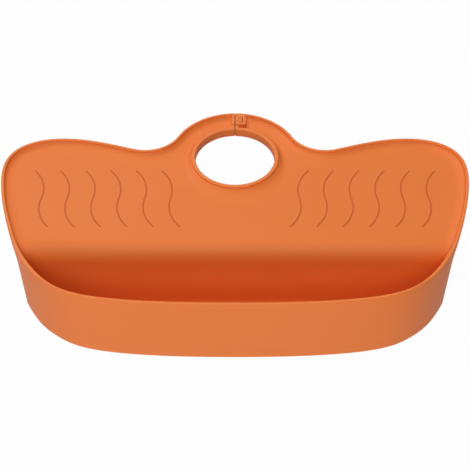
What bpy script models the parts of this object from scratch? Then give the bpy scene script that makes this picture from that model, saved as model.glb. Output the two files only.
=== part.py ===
"""Sink splash guard mat: one silicone moulding, built as the named regions that do its jobs.

Units are metres, +Z is up. The origin is the axis of the faucet opening in the plane of the underside,
which rests on the counter. +X is to the right, +Y is towards the wall behind the faucet and -Y is over the sink.
"""
import math

import bmesh
import bpy
import numpy as np

# Plan of the mat
HALF_WIDTH = 0.1509
WING_REACH = 0.0175
FRONT_REACH = 0.1255
FAUCET_RADIUS = 0.0260
RING_BAND = 0.0168
VALLEY_RADIUS = 0.0240
VALLEY_BLEND_ANGLE = math.radians(27)
VALLEY_END_ANGLE = math.radians(17)

# Thickness of the skin and the raised lips
DECK_THICKNESS = 0.0026
WALL = 0.0020
LIP_HEIGHT = 0.0036
RIM_FILLET_WIDTH = 0.0065
COLLAR_WIDTH = 0.0024
COLLAR_FILLET_WIDTH = 0.0026
EDGE_ROUND = 0.0005

# Pocket that hangs in the sink
BEND_START = 0.0630
BEND_UNDER_RADIUS = 0.0138
POCKET_DROP = 0.0492
WALL_DRAFT = 0.0021
FLOOR_THICKNESS = 0.0026
FLOOR_EDGE_ROUND = 0.0018
FRONT_WALL_HALF = 0.0880
DRAIN_SLOT_COUNT = 7
DRAIN_SLOT_PITCH = 0.0300
DRAIN_SLOT_LENGTH = 0.0140
DRAIN_SLOT_WIDTH = 0.0040

# S-shaped drain ribs on the deck
RIBS_PER_SIDE = 6
RIB_TO_OPENING = 0.0151
RIB_TO_SIDE = 0.0273
RIB_TO_BEND = 0.0279
RIB_WIDTH = 0.0013
RIB_HEIGHT = 0.0010
RIB_ARC_RADIUS = 0.0271
RIB_ARC_CHORD = 0.0261
RIB_TILT = math.radians(15.3)

# Ring arms and their clasp
ARM_SPREAD = math.radians(60)
SPLIT_GAP = 0.0006
END_PLATE_THICKNESS = 0.0021
PLATE_BORDER = 0.0003
KEEPER_LENGTH = 0.0071
KEEPER_DEPTH = 0.0090
TAB_STEM_WIDTH = 0.0021
TAB_HEAD_LENGTH = 0.0048
TAB_HEAD_THICKNESS = 0.0016
TAB_REACH = 0.0049
TAB_CLEARANCE = 0.0006
GROOVE_WIDTH = 0.0004

# Clearance between regions that touch, and how far a cutter runs past what it cuts
PIECE_GAP = 0.0003
CUT_OVERRUN = 0.0100

# Facets
ARC_STEP = math.radians(6)
OUTLINE_STEP = 0.0045
FILLET_FACETS = 5
BEND_FACETS = 10
FLOOR_EDGE_FACETS = 3
RIB_FACETS = 9

# Outline of one wing and of the pocket's end, as shares of the half width, and of the wing's reach behind the
# faucet axis or of the front's reach ahead of it
wing_outline_shares = (
    (0.547, 0.700),
    (0.645, 0.906),
    (0.748, 1.000),
    (0.858, 0.882),
    (0.938, 0.530),
    (0.983, 0.020),
)
side_outline_shares = (
    (1.000, 0.140),
    (0.988, 0.255),
    (0.966, 0.377),
    (0.942, 0.475),
    (0.898, 0.624),
    (0.838, 0.755),
    (0.762, 0.855),
    (0.680, 0.918),
    (0.587, 0.954),
    (0.466, 0.977),
    (0.299, 0.993),
    (0.000, 1.000),
)

SILICONE_COLOUR = (0.79, 0.21, 0.065, 1.0)
SILICONE_ROUGHNESS = 0.55

# Heights and radii that follow from the sizes above
LIP_TOP = DECK_THICKNESS + LIP_HEIGHT
RING_RADIUS = FAUCET_RADIUS + RING_BAND
RIM_INSET = WALL + RIM_FILLET_WIDTH
COLLAR_OUTER = FAUCET_RADIUS + COLLAR_WIDTH + COLLAR_FILLET_WIDTH
HALF_GAP = PIECE_GAP / 2
HALF_SPLIT = SPLIT_GAP / 2
POCKET_BACK = -(BEND_START + BEND_UNDER_RADIUS)
POCKET_BOTTOM = -POCKET_DROP
FLOOR_TOP = POCKET_BOTTOM + FLOOR_THICKNESS
WALL_FOOT = FLOOR_TOP + PIECE_GAP
ROOT_ANGLE = math.pi / 2 + ARM_SPREAD
RESTING_BASE = DECK_THICKNESS + PIECE_GAP
PLATE_BACK = RING_RADIUS - WALL - PLATE_BORDER
PLATE_FRONT = FAUCET_RADIUS + COLLAR_WIDTH + PLATE_BORDER
KEEPER_FRONT = PLATE_BACK - KEEPER_DEPTH
TAB_MIDDLE = PLATE_BACK - KEEPER_DEPTH / 2
RIB_FIRST_X = FAUCET_RADIUS + RIB_TO_OPENING
RIB_LAST_X = HALF_WIDTH - RIB_TO_SIDE
RIB_MIDDLE_Y = RIB_TO_BEND - BEND_START


def clear_scene():
    """Remove every object, so that the model starts from nothing."""
    for item in list(bpy.data.objects):
        bpy.data.objects.remove(item, do_unlink=True)


def silicone(name):
    """Matt silicone for one piece."""
    material = bpy.data.materials.new(name)
    material.use_nodes = True
    shader = material.node_tree.nodes["Principled BSDF"]
    shader.inputs["Base Color"].default_value = SILICONE_COLOUR
    shader.inputs["Roughness"].default_value = SILICONE_ROUGHNESS
    shader.inputs["Metallic"].default_value = 0.0
    material.diffuse_color = SILICONE_COLOUR
    return material


def place(name, shape, origin=(0, 0, 0)):
    """Turn a bmesh into a named object whose origin is the given point."""
    bmesh.ops.recalc_face_normals(shape, faces=shape.faces)
    bmesh.ops.translate(shape, verts=shape.verts, vec=[-value for value in origin])
    mesh = bpy.data.meshes.new(name)
    shape.to_mesh(mesh)
    shape.free()
    mesh.shade_smooth()
    mesh.set_sharp_from_angle(angle=math.radians(30))
    piece = bpy.data.objects.new(name, mesh)
    piece.location = origin
    bpy.context.scene.collection.objects.link(piece)
    mesh.materials.append(silicone(name + "_silicone"))
    return piece


def cut_with(piece, name, cutter_shape):
    """Cut a piece with a hidden cutter."""
    cutter = place(name, cutter_shape)
    cutter.display_type = "WIRE"
    cutter.hide_render = True
    cut = piece.modifiers.new(name, "BOOLEAN")
    cut.operation = "DIFFERENCE"
    cut.solver = "EXACT"
    cut.object = cutter
    return cutter


def mirrored(points):
    """Mirror a list of points across the plane X = 0."""
    return [(-point[0],) + tuple(point[1:]) for point in points]


def spline_through(points, first_direction, last_direction, step):
    """Points along the smooth cubic curve through the given plan points, leaving and arriving as directed."""
    knots = np.array(points, dtype=float)
    spans = np.hypot(*np.diff(knots, axis=0).T)
    count = len(knots)
    matrix = np.eye(count)
    slopes = np.zeros((count, 2))
    slopes[0] = first_direction
    slopes[-1] = last_direction
    for index in range(1, count - 1):
        before, after = spans[index - 1], spans[index]
        matrix[index, index - 1:index + 2] = (after, 2 * (before + after), before)
        run_in = (knots[index] - knots[index - 1]) / before
        run_out = (knots[index + 1] - knots[index]) / after
        slopes[index] = 3 * (after * run_in + before * run_out)
    slopes = np.linalg.solve(matrix, slopes)
    curve = [knots[0]]
    for index, span in enumerate(spans):
        pieces = max(1, round(span / step))
        for part in range(1, pieces + 1):
            share = part / pieces
            rise = share * share * (3 - 2 * share)
            leave = share * (1 - share) ** 2 * span
            arrive = share * share * (share - 1) * span
            blend = knots[index] * (1 - rise) + knots[index + 1] * rise
            curve.append(blend + slopes[index] * leave + slopes[index + 1] * arrive)
    return [tuple(point) for point in curve]


def polar(radius, angle, centre=(0.0, 0.0)):
    """A plan point at a radius and an angle from +X."""
    return (centre[0] + radius * math.cos(angle), centre[1] + radius * math.sin(angle))


def outline_from_arm():
    """Left half of the outer outline, from the ring arm's root round to the middle of the front.

    Each entry is a plan point and the unit direction that points into the mat.
    """
    blend = math.pi - VALLEY_BLEND_ANGLE
    valley_centre = polar(RING_RADIUS + VALLEY_RADIUS, blend)
    stations = []
    steps = max(1, math.ceil((blend - ROOT_ANGLE) / ARC_STEP))
    for index in range(1, steps):
        angle = ROOT_ANGLE + (blend - ROOT_ANGLE) * index / steps
        stations.append((polar(RING_RADIUS, angle), (-math.cos(angle), -math.sin(angle))))
    turn_start = -VALLEY_BLEND_ANGLE
    turn_end = -math.pi / 2 - VALLEY_END_ANGLE
    steps = math.ceil((turn_start - turn_end) / (ARC_STEP * 2))
    for index in range(steps + 1):
        angle = turn_start + (turn_end - turn_start) * index / steps
        stations.append((polar(VALLEY_RADIUS, angle, valley_centre), (math.cos(angle), math.sin(angle))))
    wing = [stations[-1][0]]
    wing += [(-across * HALF_WIDTH, back * WING_REACH) for across, back in wing_outline_shares]
    wing += [(-across * HALF_WIDTH, -ahead * FRONT_REACH) for across, ahead in side_outline_shares]
    leaving = (-math.cos(VALLEY_END_ANGLE), math.sin(VALLEY_END_ANGLE))
    curve = spline_through(wing, leaving, (1.0, 0.0), OUTLINE_STEP)
    for index in range(1, len(curve)):
        if index == len(curve) - 1:
            along = (1.0, 0.0)
        else:
            along = np.subtract(curve[index + 1], curve[index - 1])
            along = along / np.hypot(*along)
        stations.append((curve[index], (-along[1], along[0])))
    return stations


def inset(station, depth):
    """The plan point at a depth inside the outline."""
    point, inward = station
    return (point[0] + inward[0] * depth, point[1] + inward[1] * depth)


def root_point(radius, offset):
    """A point of the left arm's root at a radius, set off from the hinge line towards the clasp."""
    along = math.sqrt(radius * radius - offset * offset)
    outward = polar(along, ROOT_ANGLE)
    return (outward[0] + offset * math.sin(ROOT_ANGLE), outward[1] - offset * math.cos(ROOT_ANGLE))


def sweep(sections):
    """Closed solid through a row of sections, each a loop of as many points."""
    shape = bmesh.new()
    rows = [[shape.verts.new(point) for point in section] for section in sections]
    count = len(rows[0])
    for low, high in zip(rows, rows[1:]):
        for index in range(count):
            after = (index + 1) % count
            shape.faces.new((low[index], low[after], high[after], high[index]))
    shape.faces.new(rows[0])
    shape.faces.new(rows[-1][::-1])
    return shape


def prism(outline, low, high):
    """Upright solid of a plan outline."""
    return sweep([[(x, y, low) for x, y in outline], [(x, y, high) for x, y in outline]])


def side_prism(profile, left, right):
    """Solid of a profile in Y and Z that runs from left to right."""
    return sweep([[(left, y, z) for y, z in profile], [(right, y, z) for y, z in profile]])


def box(low, high):
    """Upright block between two corners."""
    corners = [(low[0], low[1]), (high[0], low[1]), (high[0], high[1]), (low[0], high[1])]
    return prism(corners, low[2], high[2])


def slice_off(shape, point, outward):
    """Cut a solid flat, and close it, where it passes the plane through a point."""
    everything = list(shape.verts) + list(shape.edges) + list(shape.faces)
    result = bmesh.ops.bisect_plane(
        shape, geom=everything, plane_co=point, plane_no=outward, dist=EDGE_ROUND / 1000, clear_outer=True)
    rim = [item for item in result["geom_cut"] if isinstance(item, bmesh.types.BMEdge)]
    bmesh.ops.holes_fill(shape, edges=rim, sides=0)
    return shape


def concave_fillet(lip_edge, width, facets):
    """Depth and height of the fillet from a lip's inner edge down to the deck."""
    points = []
    for index in range(1, facets + 1):
        angle = math.pi / 2 * index / facets
        points.append((lip_edge + width * (1 - math.cos(angle)), LIP_TOP - LIP_HEIGHT * math.sin(angle)))
    return points


def lip_section(width, fillet_width, facets):
    """Closed section of a raised lip with a rounded top and an inner fillet, as depth and height."""
    section = [(0.0, 0.0), (0.0, LIP_TOP - EDGE_ROUND), (EDGE_ROUND, LIP_TOP), (width, LIP_TOP)]
    section += concave_fillet(width, fillet_width, facets)
    section.append((width + fillet_width, 0.0))
    return section


def rim(name, side):
    """Raised lip round one wing, from the ring arm's root to where the deck bends down."""
    section = lip_section(WALL, RIM_FILLET_WIDTH, FILLET_FACETS)
    rows = [[root_point(RING_RADIUS - depth, -HALF_GAP) + (height,) for depth, height in section]]
    for station in outline_from_arm():
        rows.append([inset(station, depth) + (height,) for depth, height in section])
        if station[0][1] < -BEND_START - RIM_INSET:
            break
    shape = sweep([mirrored(row) if side > 0 else row for row in rows])
    slice_off(shape, (0, -BEND_START + HALF_GAP, 0), (0, -1, 0))
    return place(name, shape)


def deck_panel():
    """Flat deck between the rims, the collar and the bend."""
    depth = RIM_INSET + PIECE_GAP
    left = [root_point(RING_RADIUS - depth, -HALF_GAP)]
    for station in outline_from_arm():
        point = inset(station, depth)
        if point[1] < -BEND_START + HALF_GAP + EDGE_ROUND and point[0] < -FRONT_WALL_HALF:
            crossing = left[-1]
            share = (crossing[1] + BEND_START - HALF_GAP) / (crossing[1] - point[1])
            left.append((crossing[0] + share * (point[0] - crossing[0]), -BEND_START + HALF_GAP))
            break
        left.append(point)
    radius = COLLAR_OUTER + PIECE_GAP
    collar = [root_point(radius, -HALF_GAP)]
    full = 2 * math.pi - 2 * ARM_SPREAD
    steps = round(full / ARC_STEP)
    for index in range(1, steps):
        collar.append(polar(radius, ROOT_ANGLE + full * index / steps))
    collar += mirrored(collar[:1])
    outline = left + mirrored(left)[::-1] + collar[::-1]
    return place("deck_panel", prism(outline, 0, DECK_THICKNESS))


def collar_front():
    """Raised lip round the front of the faucet opening, between the roots of the two arms."""
    section = lip_section(COLLAR_WIDTH, COLLAR_FILLET_WIDTH, FILLET_FACETS - 1)
    first = [root_point(FAUCET_RADIUS + depth, -HALF_GAP) + (height,) for depth, height in section]
    full = 2 * math.pi - 2 * ARM_SPREAD
    steps = round(full / ARC_STEP)
    rows = [first]
    for index in range(1, steps):
        angle = ROOT_ANGLE + full * index / steps
        rows.append([polar(FAUCET_RADIUS + depth, angle) + (height,) for depth, height in section])
    rows.append(mirrored(first))
    return place("collar_front", sweep(rows))


def arm_section():
    """Closed section of the ring's band, as radius and height: rim, channel and collar."""
    inner = lip_section(COLLAR_WIDTH, COLLAR_FILLET_WIDTH, FILLET_FACETS - 1)[:-1]
    outer = lip_section(WALL, RIM_FILLET_WIDTH, FILLET_FACETS)[:-1]
    section = [(FAUCET_RADIUS + depth, height) for depth, height in inner]
    section += [(RING_RADIUS - depth, height) for depth, height in outer[::-1]]
    return section


def ring_arm(name, side):
    """One half of the ring behind the faucet. Its origin is on its hinge line, at the top of the lips."""
    section = arm_section()
    rows = [[root_point(radius, HALF_GAP) + (height,) for radius, height in section]]
    steps = round(ARM_SPREAD / ARC_STEP)
    for index in range(1, steps):
        angle = ROOT_ANGLE - ARM_SPREAD * index / steps
        rows.append([polar(radius, angle) + (height,) for radius, height in section])
    rows.append([(-HALF_SPLIT, math.sqrt(radius * radius - HALF_SPLIT ** 2), height) for radius, height in section])
    shape = sweep([mirrored(row) if side > 0 else row for row in rows])
    hinge = polar(FAUCET_RADIUS + RING_BAND / 2, ROOT_ANGLE)
    origin = (-hinge[0] if side > 0 else hinge[0], hinge[1], LIP_TOP)
    return place(name, shape, origin)


def between(side, near, far):
    """Low and high X of a span measured from the split towards one side."""
    return (near, far) if side > 0 else (-far, -near)


def plate_seat(side, near, far, front):
    """Block to cut from an arm so that a clasp piece sits in its channel with clearance."""
    low_x, high_x = between(side, near, far)
    low = (low_x, front - PIECE_GAP, DECK_THICKNESS)
    return box(low, (high_x, PLATE_BACK + PIECE_GAP, LIP_TOP + CUT_OVERRUN))


def tab_outline(grow):
    """Plan of the T-shaped tab from the split outwards, grown all round by a clearance."""
    half_stem = TAB_STEM_WIDTH / 2 + grow
    half_head = TAB_HEAD_LENGTH / 2 + grow
    neck = TAB_REACH - TAB_HEAD_THICKNESS - grow
    end = TAB_REACH + grow
    root = -HALF_SPLIT - END_PLATE_THICKNESS / 2
    return [
        (root, TAB_MIDDLE - half_stem),
        (neck, TAB_MIDDLE - half_stem),
        (neck, TAB_MIDDLE - half_head),
        (end, TAB_MIDDLE - half_head),
        (end, TAB_MIDDLE + half_head),
        (neck, TAB_MIDDLE + half_head),
        (neck, TAB_MIDDLE + half_stem),
        (root, TAB_MIDDLE + half_stem),
    ]


def clasp_groove(side):
    """Thin groove across the top of an end plate, in front of the clasp."""
    low_x, high_x = between(side, 0, HALF_SPLIT + END_PLATE_THICKNESS + CUT_OVERRUN)
    low = (low_x, KEEPER_FRONT - GROOVE_WIDTH, LIP_TOP - GROOVE_WIDTH)
    return box(low, (high_x, KEEPER_FRONT, LIP_TOP + CUT_OVERRUN))


def clasp_hook():
    """End plate of the left arm with its T-shaped tab."""
    outer = -HALF_SPLIT - END_PLATE_THICKNESS
    tab = tab_outline(0)
    stem_root = [(-HALF_SPLIT, y) for y in (tab[0][1], tab[-1][1])]
    outline = [(outer, PLATE_FRONT), (-HALF_SPLIT, PLATE_FRONT), stem_root[0]]
    outline += tab[1:-1]
    outline += [stem_root[1], (-HALF_SPLIT, PLATE_BACK), (outer, PLATE_BACK)]
    hook = place("clasp_hook", prism(outline, RESTING_BASE, LIP_TOP))
    cut_with(hook, "hook_groove_cutter", clasp_groove(-1))
    return hook


def clasp_keeper():
    """End plate of the right arm with the block whose slot takes the tab."""
    plate = HALF_SPLIT + END_PLATE_THICKNESS
    end = HALF_SPLIT + KEEPER_LENGTH
    corner = EDGE_ROUND * 2
    tab = [(max(x, HALF_SPLIT), y) for x, y in tab_outline(TAB_CLEARANCE)]
    outline = [
        (HALF_SPLIT, PLATE_FRONT),
        (plate, PLATE_FRONT),
        (plate, KEEPER_FRONT),
        (end - corner, KEEPER_FRONT),
        (end, KEEPER_FRONT + corner),
        (end, PLATE_BACK - corner),
        (end - corner, PLATE_BACK),
        (HALF_SPLIT, PLATE_BACK),
    ]
    outline += tab[::-1]
    keeper = place("clasp_keeper", prism(outline, RESTING_BASE, LIP_TOP))
    cut_with(keeper, "keeper_groove_cutter", clasp_groove(1))
    return keeper


def ring_and_clasp():
    """The two arms, the clasp pieces that sit in their channels, and the slot under the tab."""
    plate_end = HALF_SPLIT + END_PLATE_THICKNESS + PIECE_GAP
    keeper_end = HALF_SPLIT + KEEPER_LENGTH + PIECE_GAP
    left = ring_arm("left_ring_arm", -1)
    cut_with(left, "left_plate_seat_cutter", plate_seat(-1, 0, plate_end, PLATE_FRONT))
    right = ring_arm("right_ring_arm", 1)
    cut_with(right, "right_plate_seat_cutter", plate_seat(1, 0, plate_end, PLATE_FRONT))
    cut_with(right, "keeper_seat_cutter", plate_seat(1, 0, keeper_end, KEEPER_FRONT))
    slot = prism(tab_outline(TAB_CLEARANCE), -CUT_OVERRUN, LIP_TOP)
    cut_with(right, "tab_slot_cutter", slot)
    clasp_hook()
    clasp_keeper()


def draft(height):
    """How far the pocket's walls are drawn in at a height."""
    return WALL_DRAFT * min(height, 0.0) / POCKET_BOTTOM


def wall_reach(y, depth):
    """Half width of the space between the end walls at a Y, measured inside the outline by a depth."""
    points = [inset(station, depth) for station in outline_from_arm()]
    for before, after in zip(points, points[1:]):
        if after[1] <= y <= before[1] and after[0] < -FRONT_WALL_HALF and y < 0:
            share = (before[1] - y) / (before[1] - after[1])
            return -(before[0] + share * (after[0] - before[0]))
    raise ValueError("the pocket's end wall doesn't reach this far")


def bend_arc(radius, first, last, facets):
    """Points in Y and Z round the bend, from the deck's end of it to the wall's."""
    points = []
    for index in range(facets + 1):
        angle = first + (last - first) * index / facets
        points.append((-BEND_START - radius * math.sin(angle), -BEND_UNDER_RADIUS + radius * math.cos(angle)))
    return points


def span_between_walls(profile_pairs):
    """Solid between the end walls, through pairs of points in Y and Z on its two faces."""
    rows = []
    for pair in profile_pairs:
        row = []
        for y, z in pair:
            reach = wall_reach(y, WALL + PIECE_GAP + draft(z))
            row += [(-reach, y, z), (reach, y, z)]
        rows.append([row[0], row[1], row[3], row[2]])
    return sweep(rows)


def sink_edge_bend():
    """Quarter bend that carries the deck down over the sink's edge."""
    trim = PIECE_GAP / (BEND_UNDER_RADIUS + DECK_THICKNESS) / 2
    under = bend_arc(BEND_UNDER_RADIUS, trim, math.pi / 2, BEND_FACETS)
    over = bend_arc(BEND_UNDER_RADIUS + DECK_THICKNESS, trim, math.pi / 2, BEND_FACETS)
    return place("sink_edge_bend", span_between_walls(list(zip(under, over))))


def pocket_back_wall():
    """Upright wall below the bend, against the sink's side."""
    top = -BEND_UNDER_RADIUS - PIECE_GAP
    front = POCKET_BACK - DECK_THICKNESS
    pairs = [((POCKET_BACK, z), (front, z)) for z in (top, WALL_FOOT)]
    return place("pocket_back_wall", span_between_walls(pairs))


def wall_section(foot):
    """Closed section of the pocket's wall, upright beside the deck and drawn in below it, as depth and height."""
    top = [(0.0, 0.0), (0.0, LIP_TOP - EDGE_ROUND), (EDGE_ROUND, LIP_TOP)]
    top += [(WALL - EDGE_ROUND, LIP_TOP), (WALL, LIP_TOP - EDGE_ROUND), (WALL, 0.0)]
    return [(draft(foot), foot)] + top + [(WALL + draft(foot), foot)]


def pocket_end(name, side):
    """Curved end wall of the pocket, from beside the bend to the front wall."""
    section = wall_section(WALL_FOOT)
    rows = []
    for station in outline_from_arm():
        if station[0][1] < -BEND_START + RIM_INSET and station[0][0] < -FRONT_WALL_HALF + RIM_INSET:
            rows.append([inset(station, depth) + (height,) for depth, height in section])
    shape = sweep([mirrored(row) if side > 0 else row for row in rows])
    slice_off(shape, (0, -BEND_START - HALF_GAP, 0), (0, 1, 0))
    slice_off(shape, (side * (FRONT_WALL_HALF + HALF_GAP), 0, 0), (-side, 0, 0))
    end = place(name, shape)
    back = BEND_START / 2
    profile = [(-back, 0.0)] + bend_arc(BEND_UNDER_RADIUS, 0, math.pi / 2, BEND_FACETS)
    profile += [(POCKET_BACK, POCKET_BOTTOM - CUT_OVERRUN), (-back, POCKET_BOTTOM - CUT_OVERRUN)]
    reach = HALF_WIDTH + CUT_OVERRUN
    cut_with(end, name + "_under_bend_cutter", side_prism(profile, *between(side, FRONT_WALL_HALF, reach)))
    return end


def pocket_front_wall():
    """Front wall, from one end wall to the other."""
    section = wall_section(WALL_FOOT)
    half = []
    for station in outline_from_arm():
        if station[0][0] > -FRONT_WALL_HALF - RIM_INSET and station[0][1] < -BEND_START:
            half.append([inset(station, depth) + (height,) for depth, height in section])
    rows = half + [mirrored(row) for row in half[-2::-1]]
    shape = sweep(rows)
    for side in (-1, 1):
        slice_off(shape, (side * (FRONT_WALL_HALF - HALF_GAP), 0, 0), (side, 0, 0))
    return place("pocket_front_wall", shape)


def drain_slot(middle):
    """Round-ended slot through the floor, long way across the mat."""
    radius = DRAIN_SLOT_WIDTH / 2
    half = DRAIN_SLOT_LENGTH / 2 - radius
    across = (POCKET_BACK - FRONT_REACH) / 2
    outline = []
    for centre, start in ((middle + half, -math.pi / 2), (middle - half, math.pi / 2)):
        for index in range(RIB_FACETS):
            angle = start + math.pi * index / (RIB_FACETS - 1)
            outline.append(polar(radius, angle, (centre, across)))
    return prism(outline, POCKET_BOTTOM - CUT_OVERRUN, FLOOR_TOP + CUT_OVERRUN)


def floor_outline(depth, height):
    """Loop round the pocket's floor, inside its edge by a depth."""
    back = POCKET_BACK - depth
    depth += draft(height)
    left = [(-wall_reach(back, depth), back)]
    for station in outline_from_arm():
        if station[0][1] < POCKET_BACK - 2 * FLOOR_EDGE_ROUND:
            left.append(inset(station, depth))
    return [(x, y, height) for x, y in left + mirrored(left)[-2::-1]]


def pocket_floor():
    """Floor under all the pocket's walls, with rounded lower edges and a row of drain slots."""
    loops = []
    for index in range(FLOOR_EDGE_FACETS + 1):
        angle = math.pi / 2 * index / FLOOR_EDGE_FACETS
        depth = FLOOR_EDGE_ROUND * (1 - math.sin(angle))
        loops.append(floor_outline(depth, POCKET_BOTTOM + FLOOR_EDGE_ROUND * (1 - math.cos(angle))))
    loops.append(floor_outline(0, FLOOR_TOP))
    floor = place("pocket_floor", sweep(loops))
    for index in range(DRAIN_SLOT_COUNT):
        middle = (index - (DRAIN_SLOT_COUNT - 1) / 2) * DRAIN_SLOT_PITCH
        cut_with(floor, "drain_slot_cutter_%d" % (index + 1), drain_slot(middle))
    return floor


def rib_path(middle_x, side):
    """Points and unit normals along an S of two arcs."""
    half_angle = math.asin(RIB_ARC_CHORD / (2 * RIB_ARC_RADIUS))
    path = []
    for sign in (1, -1):
        for index in range(RIB_FACETS + 1):
            if sign < 0 and index == 0:
                continue
            angle = half_angle * (1 - 2 * index / RIB_FACETS)
            along = sign * RIB_ARC_CHORD / 2 + RIB_ARC_RADIUS * math.sin(angle)
            bow = sign * RIB_ARC_RADIUS * (math.cos(angle) - math.cos(half_angle))
            heading = RIB_TILT + sign * angle
            x = -along * math.sin(RIB_TILT) + bow * math.cos(RIB_TILT)
            y = along * math.cos(RIB_TILT) + bow * math.sin(RIB_TILT)
            point = (middle_x - side * x, RIB_MIDDLE_Y + y)
            path.append((point, (-side * math.cos(heading), math.sin(heading))))
    return path


def drain_rib(name, middle_x, side):
    """One raised rib with a rounded top, resting on the deck."""
    path = rib_path(middle_x, side)
    half = RIB_WIDTH / 2
    top = DECK_THICKNESS + RIB_HEIGHT
    shoulder = top - RIB_HEIGHT / 4
    section = [(-half, RESTING_BASE), (-half, shoulder), (-half / 2, top), (half / 2, top), (half, shoulder)]
    section.append((half, RESTING_BASE))
    rows = []
    for point, across in path:
        rows.append([(point[0] + across[0] * w, point[1] + across[1] * w, z) for w, z in section])
    return place(name, sweep(rows))


def drain_ribs():
    """Both sets of ribs, counted outwards from the faucet."""
    for side, label in ((-1, "left"), (1, "right")):
        for index in range(RIBS_PER_SIDE):
            middle_x = side * (RIB_FIRST_X + (RIB_LAST_X - RIB_FIRST_X) * index / (RIBS_PER_SIDE - 1))
            drain_rib("%s_rib_%d" % (label, index + 1), middle_x, side)


def main():
    """Build every piece."""
    clear_scene()
    deck_panel()
    rim("left_rim", -1)
    rim("right_rim", 1)
    collar_front()
    ring_and_clasp()
    sink_edge_bend()
    pocket_back_wall()
    pocket_end("pocket_left_end", -1)
    pocket_end("pocket_right_end", 1)
    pocket_front_wall()
    pocket_floor()
    drain_ribs()


main()
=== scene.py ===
"""Sink splash guard mat in orange silicone: the skin, ring arms, clasp and drain ribs, and a plain studio round them.

Units are metres, +Z is up. The origin is the axis of the faucet opening in the plane of the underside.
"""
import math

import bmesh
import bpy
import numpy as np
from mathutils import Matrix, Vector


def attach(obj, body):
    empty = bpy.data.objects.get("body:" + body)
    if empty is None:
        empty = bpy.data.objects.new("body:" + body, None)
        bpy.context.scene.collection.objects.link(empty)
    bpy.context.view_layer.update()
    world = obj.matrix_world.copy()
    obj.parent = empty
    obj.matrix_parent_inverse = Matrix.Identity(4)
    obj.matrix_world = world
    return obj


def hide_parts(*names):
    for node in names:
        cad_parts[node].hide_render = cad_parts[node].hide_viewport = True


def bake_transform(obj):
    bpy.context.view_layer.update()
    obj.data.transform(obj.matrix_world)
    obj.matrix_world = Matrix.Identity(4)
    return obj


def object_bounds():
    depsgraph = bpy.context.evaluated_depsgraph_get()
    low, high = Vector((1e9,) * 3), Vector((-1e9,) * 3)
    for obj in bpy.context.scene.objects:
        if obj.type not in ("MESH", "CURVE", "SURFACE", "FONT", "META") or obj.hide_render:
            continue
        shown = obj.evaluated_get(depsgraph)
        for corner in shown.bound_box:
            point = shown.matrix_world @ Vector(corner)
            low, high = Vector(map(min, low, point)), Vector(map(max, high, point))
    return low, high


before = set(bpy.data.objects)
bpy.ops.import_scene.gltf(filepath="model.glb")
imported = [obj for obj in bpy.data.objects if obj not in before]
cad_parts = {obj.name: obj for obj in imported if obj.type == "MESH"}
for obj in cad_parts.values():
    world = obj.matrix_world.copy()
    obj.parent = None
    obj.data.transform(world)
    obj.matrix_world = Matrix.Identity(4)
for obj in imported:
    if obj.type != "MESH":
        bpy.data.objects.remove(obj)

bl_info = {
    "name": "Sink Splash Guard Mat",
    "version": (1, 0, 0),
    "blender": (4, 5, 0),
    "location": "3D View > Sidebar > Splash Mat",
    "description": "Skin, ring arms, clasp, drain ribs and studio of a silicone sink splash guard mat",
    "category": "Add Mesh",
}

CAD_BOX = [list(corner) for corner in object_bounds()]
FRONT_REACH = -CAD_BOX[0][1]
POCKET_DROP = -CAD_BOX[0][2]
LIP_TOP = CAD_BOX[1][2]
LIT_MIDDLE = (0.0, -0.04, 0.0)

# Outline of one wing and of the pocket's end, as shares of the half width, and of the wing's reach behind the
# faucet axis or of the front's reach ahead of it
WING_OUTLINE_SHARES = (
    (0.547, 0.700), (0.645, 0.906), (0.748, 1.000), (0.858, 0.882), (0.938, 0.530), (0.983, 0.020))
SIDE_OUTLINE_SHARES = (
    (1.000, 0.140), (0.988, 0.255), (0.966, 0.377), (0.942, 0.475), (0.898, 0.624), (0.838, 0.755),
    (0.762, 0.855), (0.680, 0.918), (0.587, 0.954), (0.466, 0.977), (0.299, 0.993), (0.000, 1.000))
# Width of the lip, as shares of the wall's thickness, and how far the pocket's foot is drawn in, as shares of the
# wall's draft, each by the share of the outline's run from the split to the middle of the front
LIP_WIDTHS = ((0.00, 0.85), (0.30, 0.92), (0.45, 1.00), (0.58, 1.05), (0.665, 1.18), (0.73, 0.74), (1.00, 0.68))
FOOT_DRAFTS = ((0.00, 0.45), (0.60, 0.45), (0.665, 0.85), (0.73, 1.28), (0.85, 1.20), (1.00, 1.12))
VALLEY_BLEND_ANGLE = math.radians(27)
VALLEY_END_ANGLE = math.radians(17)
VALLEY_SEAM_ANGLE = math.radians(43.5)
COLLAR_SEAM_ANGLE = math.radians(170.3)
ARM_ROOT_ANGLE = math.radians(150)
# The collar's ramp widens over the blend's angle past the seam, after a delay that is a share of that angle
RAMP_BLEND_ANGLE = math.radians(40)
RAMP_DELAY = 0.05
# Lean of the side where the bend starts, how far behind the bend the rim's own rows end, and how far the soft part
# of an arm reaches on either side of its root
SIDE_LEAN_ANGLE = math.radians(18)
RIM_END = 0.0027
# How far the clasp's foot lies below the deck's top, by the sink of its own top, and the radius of the keeper's
# front corner, by that of its edges
CLASP_FOOT = 4
KEEPER_CORNER = 4
# The ribs: depth of their foot below the deck, length of their rounded ends by their width, and least squared height
RIB_SUNK = 0.0002
RIB_END = 0.75
RIB_TIP = 0.01

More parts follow.
